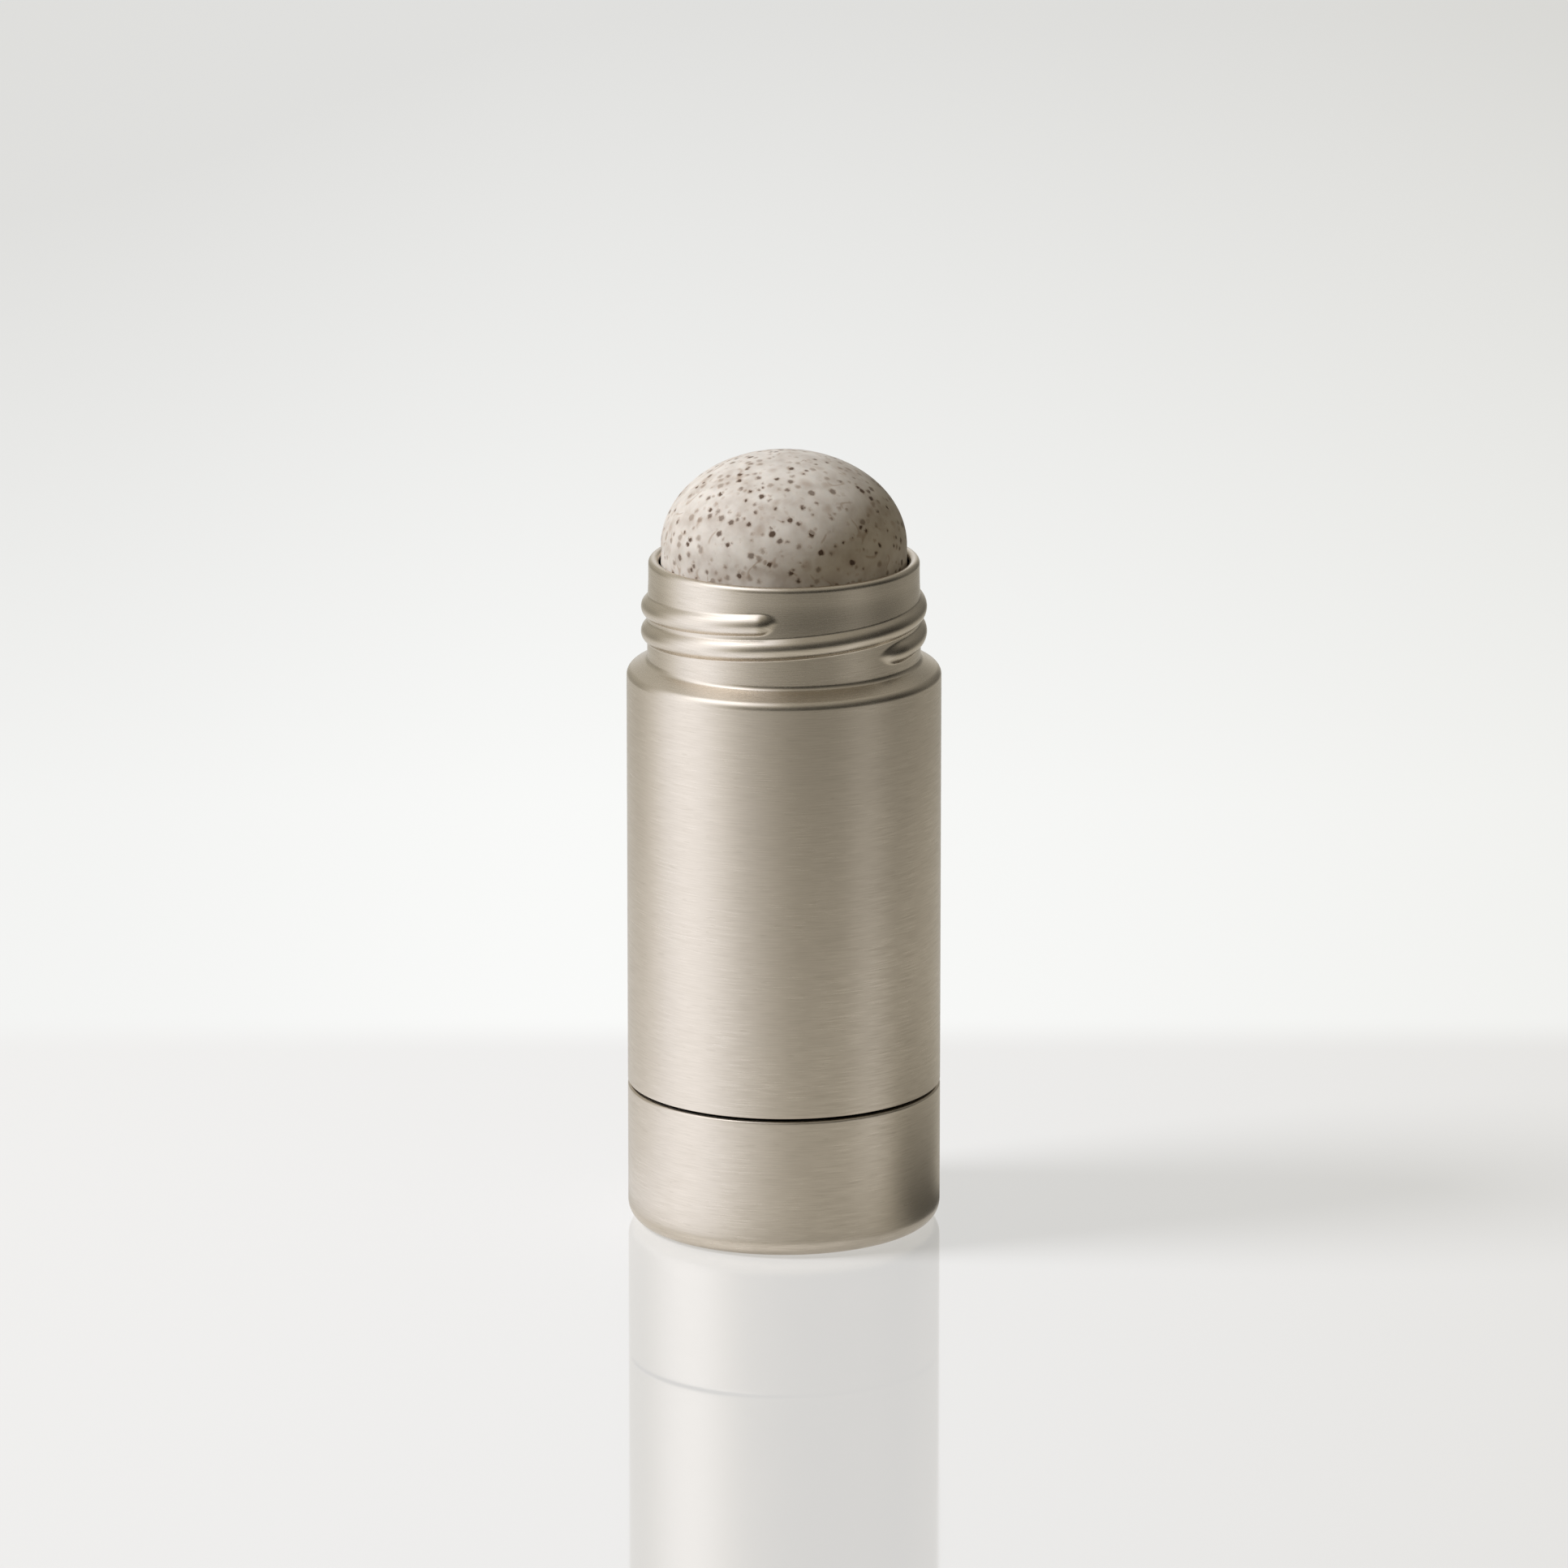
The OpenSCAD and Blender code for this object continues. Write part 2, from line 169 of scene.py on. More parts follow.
class StickStageSettings(bpy.types.PropertyGroup):
    """Sizes, colours, light and camera of the studio."""

    floor_radius: length("Floor radius", "Radius of the round floor", 6.0)
    floor_tone: colour("Floor", "Floor under and before the stick", "#EAEAE8")
    wall_tone: colour("Far floor", "Floor beyond the soft line behind the stick", "#F8FAF8")
    far_tone: colour("Farthest floor", "Floor at the top of the picture", "#D8D9D7")
    floor_body: colour("Floor body", "Share of its tone that the floor scatters", "#B3B3B8")
    floor_glow: number("Floor glow", "Share of its tone that the floor gives off", 0.5)
    bounce: colour("Bounce", "Grey of the floor for the diffuse light that it throws back", "#8C8271")
    step: length("Tone step", "Distance behind the axis at which the floor turns paler", 81 * MM)
    step_blur: length("Step blur", "Softness of that step on each side", 9 * MM)
    back_start: length("Back fade start", "Distance behind the axis at which the floor starts to fade", 0.2)
    back_end: length("Back fade end", "Distance behind the axis at which it has faded", 0.8)
    side_start: number("Side fade start", "Slope left of the sight line where the fade starts", 0.01)
    side_end: number("Side fade end", "Slope left of the sight line where the fade is full", 0.075)
    side_share: number("Side fade", "Most that the left side adds to the fade", 0.32)
    key_power: FloatProperty(name="Key", description="Power of the large lamp on the left", default=12.6,
                             unit="POWER")
    key_turn: angle("Key direction", "Direction of the lamp, right of the camera", -81)
    key_rise: angle("Key height", "Direction of the lamp above the floor", 44)
    key_away: length("Key distance", "Distance of the lamp from the stick's middle", 1.15)
    key_size: length("Key size", "Width of the lamp's round face", 0.42)
    key_aim: length("Key aim", "Height of the point that the lamp faces", 50 * MM)
    ambient: number("Ambient", "Strength of the room's even light", 0.2)
    ambient_tone: colour("Ambient tone", "Colour of the room's even light", "#FFF0CF")
    backdrop: colour("Backdrop", "Room beyond the floor, as the camera sees it", "#EDEEEC")
    lens: number("Lens", "Focal length in millimetres, on a sensor 36 mm wide", 258.9)
    view_aim: length("View aim", "Height of the point that the camera faces", 54.327 * MM)
    view_tilt: angle("View tilt", "How far the camera looks down", 14.441)
    view_away: length("View distance", "Distance of the camera from that point", 1.36421)


def arc(centre_r, centre_z, radius, start, end, steps):
    """Points (r, z) on a circular arc: the centre plus the radius times (cos a, sin a), a in degrees."""
    a = np.radians(np.linspace(start, end, steps + 1))
    return np.column_stack([centre_r + radius * np.cos(a), centre_z + radius * np.sin(a)])


def straight(start, end, guard=0.25 * MM, rows=1):
    """Points inside a straight run from start to end, without its ends.

    A point stands a guard's length from each end, so that smooth shading turns only there, and the
    stretch between is cut into rows.
    """
    start, end = np.array(start), np.array(end)
    span = np.linalg.norm(end - start)
    ease = min(guard / span, 0.3)
    share = np.linspace(ease, 1 - ease, rows + 1)[:, None]
    return start + share * (end - start)


def smooth_max(a, b, blend):
    """The larger of a and b, rounded where they cross: max(a, b) + blend / 4 * (1 - |a - b| / blend)^2."""
    near = np.clip(1 - np.abs(a - b) / blend, 0, None)
    return np.maximum(a, b) + blend / 4 * near**2


def smooth_step(x, low, high):
    """0 below low, 1 above high, and 3t^2 - 2t^3 between them."""
    t = np.clip((x - low) / (high - low), 0, 1)
    return t * t * (3 - 2 * t)


def revolve(name, radius, height, poles=False):
    """Mesh of an outline carried round the axis.

    radius and height are grids, one row for each point of the outline and one column for each angle
    2 pi j / columns. Neighbouring points are joined by quads. The outline closes on itself, or with
    poles it starts and ends on the axis, where each end row is one point with a fan of triangles.
    """
    rows, columns = np.broadcast_shapes(radius.shape, height.shape)
    radius = np.broadcast_to(radius, (rows, columns))
    turn = 2 * np.pi * np.arange(columns) / columns
    points = np.stack([radius * np.cos(turn), radius * np.sin(turn),
                       np.broadcast_to(height, (rows, columns))], axis=-1)
    keep = np.ones((rows, columns), bool)
    if poles:
        keep[0, 1:] = keep[-1, 1:] = False
    index = (np.cumsum(keep) - 1).reshape(rows, columns)
    upper = index[1:] if poles else np.roll(index, -1, axis=0)
    lower = index[:-1] if poles else index
    quads = np.stack([lower, np.roll(lower, -1, 1), np.roll(upper, -1, 1), upper], axis=-1).reshape(-1, 4)
    first, last = quads[:, 0] == quads[:, 1], quads[:, 2] == quads[:, 3]
    faces = quads[~(first | last)].tolist()
    faces += quads[first][:, [0, 2, 3]].tolist()
    faces += quads[last][:, :3].tolist()
    mesh = bpy.data.meshes.new(name)
    mesh.from_pydata(points[keep], [], faces)
    mesh.polygons.foreach_set("use_smooth", np.ones(len(mesh.polygons), bool))
    mesh.update()
    return mesh


def place(name, mesh, material, body, nodes):
    """Links a finished mesh as a piece that rides on a body and stands for CAD nodes."""
    piece = bpy.data.objects.new(name, mesh)
    bpy.context.scene.collection.objects.link(piece)
    mesh.materials.clear()
    mesh.materials.append(material)
    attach(piece, body)
    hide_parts(*nodes)


def bead_surface(z, turn, wall, thread, sunk):
    """Radius of a wall with the thread's beads rolled into it.

    Each bead's section is a circular arc of its own radius, (w^2 / 4 + h^2) / 2h outside and sunk less
    inside. Its middle climbs by the lead in one turn. Its crest rises from the root and falls back to it
    as a quarter sine, over the run-in and the run-out. The bead and the wall meet in a smooth maximum,
    softer above the bead's middle than below it.
    """
    spare = (2 * math.pi - thread.sweep) / 2
    full = (thread.width**2 / 4 + thread.height**2) / (2 * thread.height) - sunk
    surface = wall
    for start in range(thread.starts):
        turned = turn - (thread.end_angle - thread.sweep) - 2 * math.pi * start / thread.starts
        run = (turned + spare) % (2 * math.pi) - spare
        share = np.clip(np.minimum(run / thread.run_in, (thread.sweep - run) / thread.run_out), -1, 1)
        rise = (thread.height + thread.root) * np.sin(share * math.pi / 2) - thread.root
        off = z - (thread.top - thread.lead * (thread.sweep - run) / (2 * math.pi))
        crest = wall + rise - full + np.sqrt(np.clip(full**2 - off**2, 0, None))
        crest = np.where(np.abs(off) < full, crest, wall - thread.height)
        above = smooth_step(off, -thread.blend_band, thread.blend_band)
        soft = thread.lower_blend + (thread.upper_blend - thread.lower_blend) * above
        surface = smooth_max(surface, crest, soft)
    return surface


def sleeve_grid(case, thread, columns=400):
    """Radius and height of the sleeve's metal: up the outside, over the crown and down the inside.

    The outline is a rounded cut edge, the barrel, the shoulder's bend, cone and hollow, the neck with
    its beads, a half-round crown, and the same forms one metal thickness further in. The cone touches
    both arcs, so it is ((R - Rh) + (r + rh) cos t) / sin t long between arc centres at R and Rh.
    """
    turn = (2 * np.pi * np.arange(columns) / columns)[None, :]
    inner = case.radius - case.wall
    shoulder_r = case.radius - case.shoulder_round
    hollow_r = case.neck + case.hollow_round
    reach = case.shoulder_round + case.hollow_round
    tilt = math.degrees(case.shoulder_tilt)
    cone = (shoulder_r - hollow_r + reach * math.cos(case.shoulder_tilt)) / math.sin(case.shoulder_tilt)
    hollow_z = case.shoulder + reach * math.sin(case.shoulder_tilt) + cone * math.cos(case.shoulder_tilt)
    bend = arc(shoulder_r, case.shoulder, case.shoulder_round, 0, tilt, 18)
    hollow = arc(hollow_r, hollow_z, case.hollow_round, 180 + tilt, 180, 14)
    below = np.vstack([
        [inner, case.foot],
        arc(case.radius - case.edge, case.foot + case.edge, case.edge, -90, 0, 6),
        straight((case.radius, case.foot + case.edge), (case.radius, case.shoulder), rows=6),
        bend,
        straight(bend[-1], hollow[0], guard=0.1 * MM),
        hollow[:-1],
    ])

    rim_z = case.top - case.rim_height
    crown_z = case.top - case.lip / 2
    taper = (rim_z - 4 * MM, rim_z + 1 * MM)
    roll = (crown_z - 0.9 * MM, crown_z - 0.1 * MM)
    outer_z = np.linspace(hollow_z, crown_z, 116)[:, None]
    outer_wall = case.neck - (case.neck - case.rim) * smooth_step(outer_z, *taper)
    outer_r = bead_surface(outer_z, turn, outer_wall, thread, 0.0)
    crown = arc(case.rim - case.lip / 2, crown_z, case.lip / 2, 0, 180, 18)[1:-1]
    inner_z = np.linspace(crown_z, hollow_z, 44)[:, None]
    rolled = smooth_step(inner_z, *roll) * (case.lip - case.wall)
    inner_wall = np.interp(inner_z, outer_z[:, 0], outer_wall[:, 0]) - case.wall - rolled
    inner_r = bead_surface(inner_z, turn, inner_wall, thread, case.wall)
    above = np.vstack([
        arc(hollow_r, hollow_z, case.hollow_round + case.wall, 180, 180 + tilt, 6)[1:],
        arc(shoulder_r, case.shoulder, case.shoulder_round - case.wall, tilt, 0, 8),
        straight((inner, case.shoulder), (inner, case.foot)),
    ])

    parts = [(below[:, :1], below[:, 1:]), (outer_r, outer_z), (crown[:, :1], crown[:, 1:]),
             (inner_r, inner_z), (above[:, :1], above[:, 1:])]
    spread = [np.broadcast_to(r, (len(r), columns)) for r, _ in parts]
    return np.vstack(spread), np.vstack([z for _, z in parts])


def cup_outline(case):
    """Points (r, z) of the cup's metal, from the middle of its underside to the middle of its floor.

    The panel under the cup is joined to the foot ring by a slope with a small round at each end.
    """
    r, wall, edge, top = case.radius, case.cup_wall, case.edge, CUP_HIGH.z
    inner, rise = r - wall, case.cup_panel
    panel = r - case.cup_round - case.cup_foot
    inner_round = case.cup_round - wall
    small = 0.12 * MM
    flat = 3 * MM
    return np.vstack([
        [0, rise], [panel - rise - flat, rise], [panel - rise - small, rise],
        arc(panel - rise, rise - small, small, 90, 45, 3)[1:],
        arc(panel, small, small, 225, 270, 3)[:-1],
        [panel + small, 0],
        arc(r - case.cup_round, case.cup_round, case.cup_round, -90, 0, 20),
        straight((r, case.cup_round), (r, top - case.cup_edge), rows=3),
        arc(r - case.cup_edge, top - case.cup_edge, case.cup_edge, 0, 90, 8),
        arc(inner + edge, top - edge, edge, 90, 180, 4),
        straight((inner, top - edge), (inner, wall + inner_round)),
        arc(inner - inner_round, wall + inner_round, inner_round, 0, -90, 8),
        [panel + rise, wall], [panel, wall + rise], [0, wall + rise],
    ])


# The slow waves of the cast balm: turns round the axis, radians in a metre of height, phase and share
BALM_WAVES = ((2, 310, 0.7, 1.0), (3, -420, 2.1, 1.0), (5, 260, 4.0, 0.7), (0, 690, 1.3, 0.6))


def balm_grid(balm, columns=320):
    """Radius and height of the balm, from the end of its bore to the dome's top.

    The dome is a quarter ellipse. The cast surface sinks below it by up to the wave, by the sum of the
    BALM_WAVES, which are sines of the angle and the height.
    """
    widest = STICK_HIGH.z - balm.dome
    corner = balm.corner
    a = np.radians(np.linspace(0, 90, 90))
    dome = np.column_stack([balm.radius * np.cos(a), widest + balm.dome * np.sin(a)])
    outline = np.vstack([
        [0, balm.bore_top], [balm.bore, balm.bore_top],
        straight((balm.bore, balm.bore_top), (balm.bore, balm.foot)),
        [balm.bore, balm.foot],
        straight((balm.bore, balm.foot), (balm.radius - corner, balm.foot)),
        arc(balm.radius - corner, balm.foot + corner, corner, -90, 0, 5),
        straight((balm.radius, balm.foot + corner), (balm.radius, widest), rows=60),
        dome,
    ])
    r, z = outline[:, :1], outline[:, 1:]
    turn = 2 * np.pi * np.arange(columns)[None, :] / columns
    slow = sum(share * np.sin(turns * turn + climb * z + phase) for turns, climb, phase, share in BALM_WAVES)
    slow = slow / sum(share for *_, share in BALM_WAVES)
    outside = (r > balm.bore + corner) & (z > balm.foot + corner)
    dome_share = np.clip(r / balm.radius, 0, 1)
    sink = np.where(outside, balm.wave * (0.5 - 0.5 * slow) * dome_share, 0)
    return r - sink, z


BOX_FACES = [(0, 1, 3, 2), (4, 6, 7, 5), (0, 4, 5, 1), (2, 3, 7, 6), (0, 2, 6, 4), (1, 5, 7, 3)]


def carve(piece_mesh, boxes):
    """A mesh with boxes cut out of it: each box is (low corner, high corner, turn about the axis)."""
    solid = bpy.data.objects.new("uncut", piece_mesh)
    bpy.context.scene.collection.objects.link(solid)
    cutters = []
    for low, high, turn in boxes:
        x, y, z = np.meshgrid(*zip(low, high), indexing="ij")
        points = np.stack([x * math.cos(turn) - y * math.sin(turn),
                           x * math.sin(turn) + y * math.cos(turn), z], axis=-1).reshape(-1, 3)
        mesh = bpy.data.meshes.new("cutter")
        mesh.from_pydata(points, [], BOX_FACES)
        cutter = bpy.data.objects.new("cutter", mesh)
        bpy.context.scene.collection.objects.link(cutter)
        cut = solid.modifiers.new("cut", "BOOLEAN")
        cut.operation, cut.solver, cut.object = "DIFFERENCE", "EXACT", cutter
        cutters.append(cutter)
    shown = solid.evaluated_get(bpy.context.evaluated_depsgraph_get())
    carved = bpy.data.meshes.new_from_object(shown)
    for spare in [solid, *cutters]:
        bpy.data.objects.remove(spare)
    carved.name = piece_mesh.name
    return carved


def new_material(name):
    """An empty material and its node tree."""
    material = bpy.data.materials.new(name)
    material.use_nodes = True
    tree = material.node_tree
    tree.nodes.clear()
    return material, tree


def add(tree, kind, inputs=None, stops=None, **settings):
    """Adds one node to a node tree.

    inputs gives a socket, by name or number, a value or the output to link to it. stops fills a
    colour ramp, and the other settings are properties of the node.
    """
    made = tree.nodes.new(kind)
    for name, value in settings.items():
        setattr(made, name, value)
    for key, value in (inputs or {}).items():
        if isinstance(value, bpy.types.NodeSocket):
            tree.links.new(value, made.inputs[key])
        else:
            made.inputs[key].default_value = value
    if stops:
        ramp = made.color_ramp.elements
        while len(ramp) < len(stops):
            ramp.new(1.0)
        for element, (place_on, tone) in zip(ramp, stops):
            element.position, element.color = place_on, tone
    return made


def remap(tree, value, source, target, **settings):
    """A value carried from the source range to the target range, and held at its ends."""
    ranges = {1: source[0], 2: source[1], 3: target[0], 4: target[1]}
    return add(tree, "ShaderNodeMapRange", {0: value, **ranges}, **settings).outputs[0]


def maths(tree, operation, first, second=0.0, **settings):
    """One calculation on one or two values."""
    return add(tree, "ShaderNodeMath", {0: first, 1: second}, operation=operation, **settings).outputs[0]


def mixed(tree, share, first, second, **settings):
    """The first colour where the share is 0, the second where it is 1, and their mix between."""
    return add(tree, "ShaderNodeMix", {0: share, 6: first, 7: second}, data_type="RGBA",
               **settings).outputs[2]


def noise(tree, place_in, size, detail, output=0):
    """Noise with features about one size wide: its value, or with output 1 its colour."""
    return add(tree, "ShaderNodeTexNoise", {"Vector": place_in, "Scale": 1 / size,
                                            "Detail": detail}).outputs[output]


def pushed_about(tree, place_in, size, reach):
    """Coordinates that noise of a given size pushes about, by up to a reach."""
    push = noise(tree, place_in, size, 1.0, output=1)
    return add(tree, "ShaderNodeVectorMath", {0: push, 1: (reach,) * 3, 2: place_in},
               operation="MULTIPLY_ADD").outputs[0]


def relief(tree, height, strength, depth):
    """A surface direction that follows a height, with features of a given depth."""
    return add(tree, "ShaderNodeBump", {"Height": height, "Strength": strength,
                                        "Distance": depth}).outputs[0]


def brushed_aluminium(finish):
    """Anodised aluminium, turned on a mandrel and brushed round its axis, then sealed.

    The brushing runs round the axis, so the sheen is far rougher along Z: upright bands of light with
    soft edges. The lines and ticks are noise in coordinates that are stretched round the axis. The
    distance across them is z - r, so that they also follow the shoulder, the crown and the underside.
    From the shoulder up the metal is smoother and less directional, as rolling the thread leaves it.
    """
    material, tree = new_material("brushed_champagne_aluminium")
    place_in = add(tree, "ShaderNodeTexCoord").outputs["Object"]
    x, y, z = add(tree, "ShaderNodeSeparateXYZ", {0: place_in}).outputs
    flat = add(tree, "ShaderNodeCombineXYZ", {0: x, 1: y, 2: 0.0}).outputs[0]
    radius = add(tree, "ShaderNodeVectorMath", {0: flat}, operation="LENGTH").outputs["Value"]
    across = maths(tree, "SUBTRACT", z, radius)
    lay = add(tree, "ShaderNodeCombineXYZ", {0: x, 1: y, 2: across}).outputs[0]

    def lines(long_size, thin_size, detail):
        """Streaks of a given length and thickness, from noise in stretched coordinates."""
        stretch = (1 / long_size, 1 / long_size, 1 / thin_size)
        spread = add(tree, "ShaderNodeVectorMath", {0: lay, 1: stretch}, operation="MULTIPLY").outputs[0]
        return add(tree, "ShaderNodeTexNoise", {"Vector": spread, "Scale": 1.0, "Detail": detail,
                                                "Roughness": 0.6}).outputs[0]

    fine = lines(3.2 * MM, 0.12 * MM, 3.0)
    ticks = lines(1.6 * MM, 0.2 * MM, 0.0)
    clouds = noise(tree, place_in, 9 * MM, 3.0)
    line_share = remap(tree, fine, (0.35, 0.7), (0.0, 0.55))
    tick_share = remap(tree, ticks, (0.27, 0.2), (0.0, 0.5))
    lined = mixed(tree, line_share, finish.metal, finish.metal_shade)
    ticked = mixed(tree, tick_share, lined, finish.metal_shade)
    line_rough = remap(tree, fine, (0.3, 0.7), (0.27, 0.36))
    worn = remap(tree, clouds, (0.3, 0.7), (-0.02, 0.02))
    neck = (finish.neck_start, finish.neck_full)
    rough = maths(tree, "MULTIPLY", maths(tree, "ADD", line_rough, worn), remap(tree, z, neck, (1.0, 0.86)))
    round_axis = add(tree, "ShaderNodeTangent", direction_type="RADIAL", axis="Z").outputs[0]
    shader = add(tree, "ShaderNodeBsdfPrincipled", {
        "Base Color": ticked, "Metallic": 1.0, "Roughness": rough,
        "Anisotropic": remap(tree, z, neck, (0.75, 0.62)), "Anisotropic Rotation": 0.25,
        "Normal": relief(tree, fine, 0.12, 0.02 * MM), "Tangent": round_axis})
    add(tree, "ShaderNodeOutputMaterial", {"Surface": shader.outputs[0]})
    return material


def speckled_balm(finish):
    """Cast wax and butter balm, full of ground seed.

    Wax scatters light below its skin, so it looks soft and slightly cloudy, with a low sheen. The seed
    is dark grains up to 0.8 mm across, each in a faint brown halo, with paler stains up to 1.7 mm wide
    and thin curved fibres. A grain is what lies within its own size of a point of a 1.2 mm cell.
    """
    material, tree = new_material("cast_seed_balm")
    place_in = add(tree, "ShaderNodeTexCoord").outputs["Object"]
    drifted = pushed_about(tree, place_in, 3 * MM, 1.2 * MM)
    clouds = noise(tree, drifted, 2.6 * MM, 3.0)
    body = add(tree, "ShaderNodeValToRGB", {0: clouds}, stops=[
        (0.3, finish.balm_deep), (0.5, finish.balm), (0.68, finish.balm_pale)]).outputs[0]

    jagged = pushed_about(tree, place_in, 0.45 * MM, 0.38 * MM)
    grains = add(tree, "ShaderNodeTexVoronoi", {"Vector": jagged, "Scale": 1 / (1.2 * MM)})
    pick = add(tree, "ShaderNodeSeparateColor", {0: grains.outputs["Color"]}).outputs
    size = remap(tree, pick[0], (0.0, 1.0), (0.14, 0.36))
    inside = maths(tree, "SUBTRACT", size, grains.outputs["Distance"])
    grain = remap(tree, inside, (-0.03, 0.09), (0.0, 1.0))
    darkness = remap(tree, pick[1], (0.2, 0.7), (0.3, 0.95))
    speck = maths(tree, "MULTIPLY", grain, darkness)
    halo = remap(tree, inside, (-0.16, 0.0), (0.0, 0.38))

    stains = add(tree, "ShaderNodeTexVoronoi", {"Vector": drifted, "Scale": 1 / (3.6 * MM)})
    stain = remap(tree, stains.outputs["Distance"], (0.24, 0.06), (0.0, 0.4))
    level = noise(tree, drifted, 2.6 * MM, 0.0)
    near_level = maths(tree, "ABSOLUTE", maths(tree, "SUBTRACT", level, 0.5))
    strand = remap(tree, near_level, (0.045, 0.01), (0.0, 0.45))
    patch = remap(tree, noise(tree, place_in, 1.9 * MM, 0.0), (0.6, 0.7), (0.0, 1.0))
    fibre = maths(tree, "MULTIPLY", strand, patch)

    tint = body
    for brown in (stain, fibre, halo):
        tint = mixed(tree, brown, tint, finish.fibre)
    tint = mixed(tree, speck, tint, finish.speck)
    pores = noise(tree, place_in, 0.5 * MM, 2.0)
    height = maths(tree, "ADD", pores, speck)
    shader = add(tree, "ShaderNodeBsdfPrincipled", {
        "Base Color": tint, "Roughness": remap(tree, pores, (0.3, 0.7), (0.42, 0.55)), "IOR": 1.45,
        "Subsurface Weight": 0.15, "Subsurface Radius": (1.0, 0.7, 0.5), "Subsurface Scale": 1.2 * MM,
        "Normal": relief(tree, height, 0.25, 0.06 * MM)})
    add(tree, "ShaderNodeOutputMaterial", {"Surface": shader.outputs[0]})
    return material


def moulded_polypropylene(name, tone, roughness):
    """Injection-moulded polypropylene: a waxy plastic with the mould's fine spark grain, 0.3 mm wide."""
    material, tree = new_material(name)
    place_in = add(tree, "ShaderNodeTexCoord").outputs["Object"]
    grain = noise(tree, place_in, 0.3 * MM, 2.0)
    flow = noise(tree, place_in, 8 * MM, 2.0)
    dim = tuple(0.86 * c for c in tone[:3]) + (1.0,)
    shader = add(tree, "ShaderNodeBsdfPrincipled", {
        "Base Color": mixed(tree, flow, tone, dim), "IOR": 1.49,
        "Roughness": remap(tree, grain, (0.3, 0.7), (roughness - 0.05, roughness + 0.05)),
        "Normal": relief(tree, grain, 0.2, 0.02 * MM)})
    add(tree, "ShaderNodeOutputMaterial", {"Surface": shader.outputs[0]})
    return material


def polished_floor(stage):
    """Pale polished acrylic sheet: a softly glowing white body under a clear, nearly flat face.

    Its tone steps softly to a paler one behind the stick, which fades with distance and to the left of
    the camera's sight line. The camera, metal and glass see the sheet partly lit from within, so that it
    stays pale and still takes the stick's shadow. Diffuse light comes back from it as from a greyer one.
    """
    material, tree = new_material("pale_acrylic_floor")
    place_in = add(tree, "ShaderNodeTexCoord").outputs["Object"]
    x, y, _ = add(tree, "ShaderNodeSeparateXYZ", {0: place_in}).outputs
    step_ends = (stage.step - stage.step_blur, stage.step + stage.step_blur)
    step = remap(tree, y, step_ends, (0.0, 1.0), interpolation_type="SMOOTHSTEP")
    back = remap(tree, y, (stage.back_start, stage.back_end), (0.0, 1.0))
    left = maths(tree, "MULTIPLY", x, -1.0)
    ahead = maths(tree, "ADD", y, stage.view_away * math.cos(stage.view_tilt))
    slope = maths(tree, "DIVIDE", left, ahead)
    side = remap(tree, slope, (stage.side_start, stage.side_end), (0.0, stage.side_share),
                 interpolation_type="SMOOTHSTEP")
    fade = maths(tree, "ADD", back, side, use_clamp=True)
    far = mixed(tree, fade, stage.wall_tone, stage.far_tone)
    tint = mixed(tree, step, stage.floor_tone, far)
    smears = noise(tree, place_in, 60 * MM, 2.0)
    seen = add(tree, "ShaderNodeBsdfPrincipled", {
        "Base Color": mixed(tree, 1.0, tint, stage.floor_body, blend_type="MULTIPLY"),
        "Roughness": remap(tree, smears, (0.3, 0.7), (0.035, 0.06)), "IOR": 1.75,
        "Emission Color": tint, "Emission Strength": stage.floor_glow}).outputs[0]
    grey = add(tree, "ShaderNodeBsdfDiffuse", {"Color": stage.bounce}).outputs[0]
    both = add(tree, "ShaderNodeMixShader", {0: seen_ray(tree), 1: grey, 2: seen}).outputs[0]
    add(tree, "ShaderNodeOutputMaterial", {"Surface": both})
    return material


def seen_ray(tree):
    """1 for rays from the camera, metal and glass, and 0 for rays of diffuse light."""
    ray = add(tree, "ShaderNodeLightPath").outputs
    direct = maths(tree, "MAXIMUM", ray["Is Camera Ray"], ray["Is Glossy Ray"])
    return maths(tree, "MAXIMUM", direct, ray["Is Transmission Ray"])


# The soft cards, which only metal and gloss see. Each has its direction in degrees right of the camera,
# the half-width of its soft patch in degrees, and its greys: on the floor at the stick's foot, and at
# each of the CARD_HEIGHTS, in degrees above the floor
CARD_HEIGHTS = (0, 30, 60, 85)
SOFT_CARDS = {
    "room": (0, math.inf, (0.57, 0.00, 0.08, 0.38, 0.36)),
    "left_glow": (-64, 85, (0.62, 0.20, 0.35, 1.35, 0.60)),
    "left_softbox": (-78, 56, (0.00, 1.10, 0.95, 0.80, 0.10)),
    "rear_fill": (-150, 70, (0.18, 0.36, 0.45, 0.30, 0.00)),
    "right_strip": (62, 28, (0.16, 0.04, 0.00, 0.00, 0.00)),
    "right_rear": (140, 50, (-0.04, 0.14, 0.16, 0.10, 0.00)),
    "backdrop": (180, 26, (0.10, 0.52, 0.52, 0.30, 0.00)),
}
# The tint that multiplies a card's grey, up to the dim grey and from the bright grey on
DIM_GREY, DIM_TINT = 0.45, (1.0, 0.96, 0.85)
BRIGHT_GREY, BRIGHT_TINT = 1.10, (1.0, 1.028, 1.12)
# The stick's shadow on the floor cards, in degrees: its direction at the foot, how far it swings as it
# leaves the foot, and the half-widths of its core and its whole
SHADOW_TURN, SHADOW_SWING, SHADOW_CORE, SHADOW_WHOLE = 86, 24, 8, 52
# Shares of light that the shadow takes at the foot and further out, and the contact shade at the foot
SHADOW_NEAR, SHADOW_FAR, CONTACT = 0.85, 0.50, 0.50


